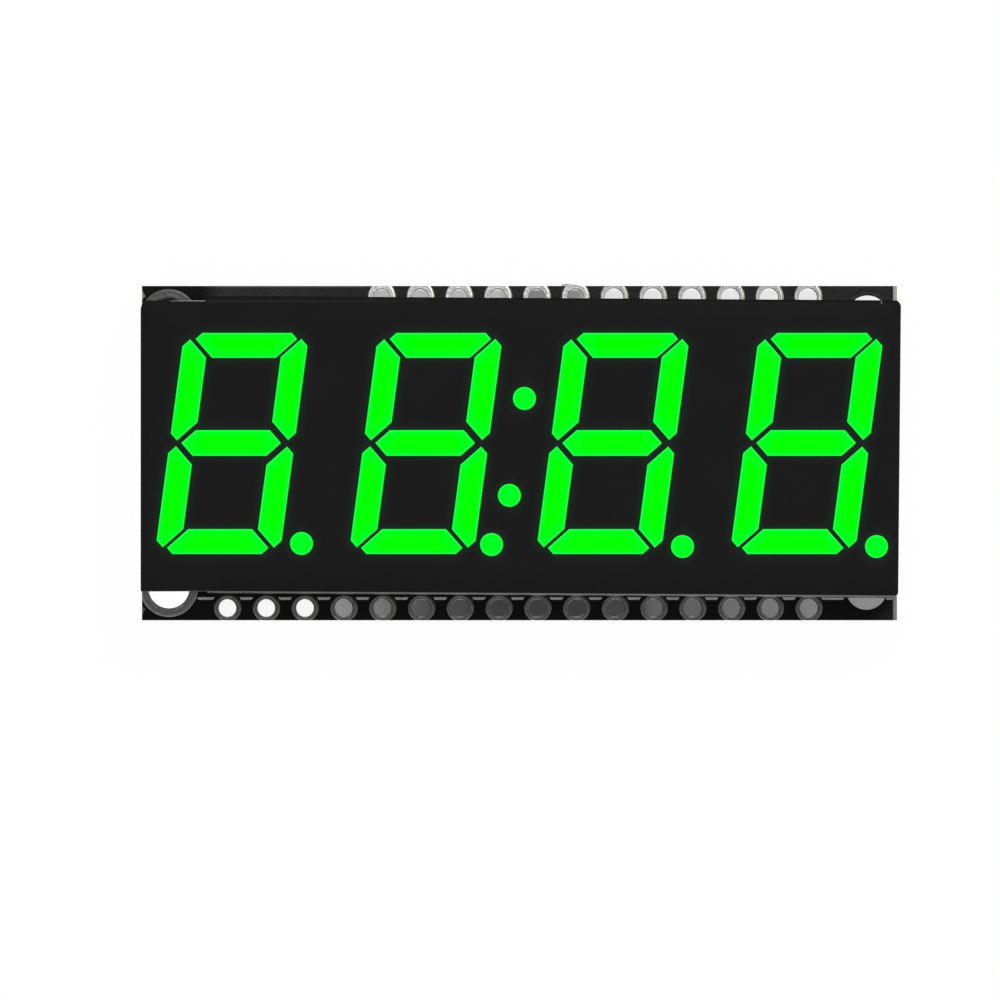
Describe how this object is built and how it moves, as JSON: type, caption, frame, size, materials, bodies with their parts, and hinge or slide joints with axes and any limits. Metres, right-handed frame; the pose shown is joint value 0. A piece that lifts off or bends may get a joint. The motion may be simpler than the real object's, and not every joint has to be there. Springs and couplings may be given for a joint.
{
  "type": "seven segment display module",
  "caption": "Seven segment clock display on a black plug-in driver board with two rows of header holes.",
  "frame": {"origin": "under the middle of the display, on the plane that the driver chip's flat top rests on", "axes": "+X along the row of digits in reading order, +Y towards the digits' upper ends, +Z out of the lit face"},
  "size_m": [0.0496, 0.0218, 0.0122],
  "materials": {
    "board": "glass fibre laminate under black solder mask, semi-gloss",
    "tinned_copper": "hot-tinned copper, bright with soft ripples",
    "solder": "bright solder",
    "pin": "tin-plated lead frame, satin",
    "shell": "black moulded plastic, matte face and smoother sides",
    "lit_epoxy": "diffused epoxy, lit green",
    "led_board": "pale laminate",
    "led_chip": "bare semiconductor chip",
    "potting": "milky cast epoxy",
    "chip_body": "fine-grained black moulding compound",
    "capacitor_ceramic": "tan fired ceramic",
    "resistor_body": "black glazed film on white ceramic"
  },
  "bodies": {
    "root": {"circuit_board": "board", "long_row_pads": "tinned_copper", "short_row_pads": "tinned_copper", "corner_pads": "tinned_copper", "display_pin_pads": "tinned_copper", "address_jumper_pads": "tinned_copper", "display_shell": "shell", "led_board": "led_board", "led_chips": "led_chip", "display_potting": "potting", "upper_display_pins": "pin", "lower_display_pins": "pin", "display_pin_solder": "solder", "driver_chip": "chip_body", "driver_chip_leads": "pin", "driver_chip_solder": "solder", "bulk_capacitor": "capacitor_ceramic", "bypass_capacitor": "capacitor_ceramic", "data_pullup_resistor": "resistor_body", "clock_pullup_resistor": "resistor_body", "small_part_end_caps": "solder", "small_part_solder": "solder", "colon_upper_dot": "lit_epoxy", "colon_lower_dot": "lit_epoxy", "digit_1_segment_a": "lit_epoxy", "digit_1_segment_b": "lit_epoxy", "digit_1_segment_c": "lit_epoxy", "digit_1_segment_d": "lit_epoxy", "digit_1_segment_e": "lit_epoxy", "digit_1_segment_f": "lit_epoxy", "digit_1_segment_g": "lit_epoxy", "digit_1_decimal_point": "lit_epoxy", "digit_2_segment_a": "lit_epoxy", "digit_2_segment_b": "lit_epoxy", "digit_2_segment_c": "lit_epoxy", "digit_2_segment_d": "lit_epoxy", "digit_2_segment_e": "lit_epoxy", "digit_2_segment_f": "lit_epoxy", "digit_2_segment_g": "lit_epoxy", "digit_2_decimal_point": "lit_epoxy", "digit_3_segment_a": "lit_epoxy", "digit_3_segment_b": "lit_epoxy", "digit_3_segment_c": "lit_epoxy", "digit_3_segment_d": "lit_epoxy", "digit_3_segment_e": "lit_epoxy", "digit_3_segment_f": "lit_epoxy", "digit_3_segment_g": "lit_epoxy", "digit_3_decimal_point": "lit_epoxy", "digit_4_segment_a": "lit_epoxy", "digit_4_segment_b": "lit_epoxy", "digit_4_segment_c": "lit_epoxy", "digit_4_segment_d": "lit_epoxy", "digit_4_segment_e": "lit_epoxy", "digit_4_segment_f": "lit_epoxy", "digit_4_segment_g": "lit_epoxy", "digit_4_decimal_point": "lit_epoxy"}
  },
  "joints": []
}
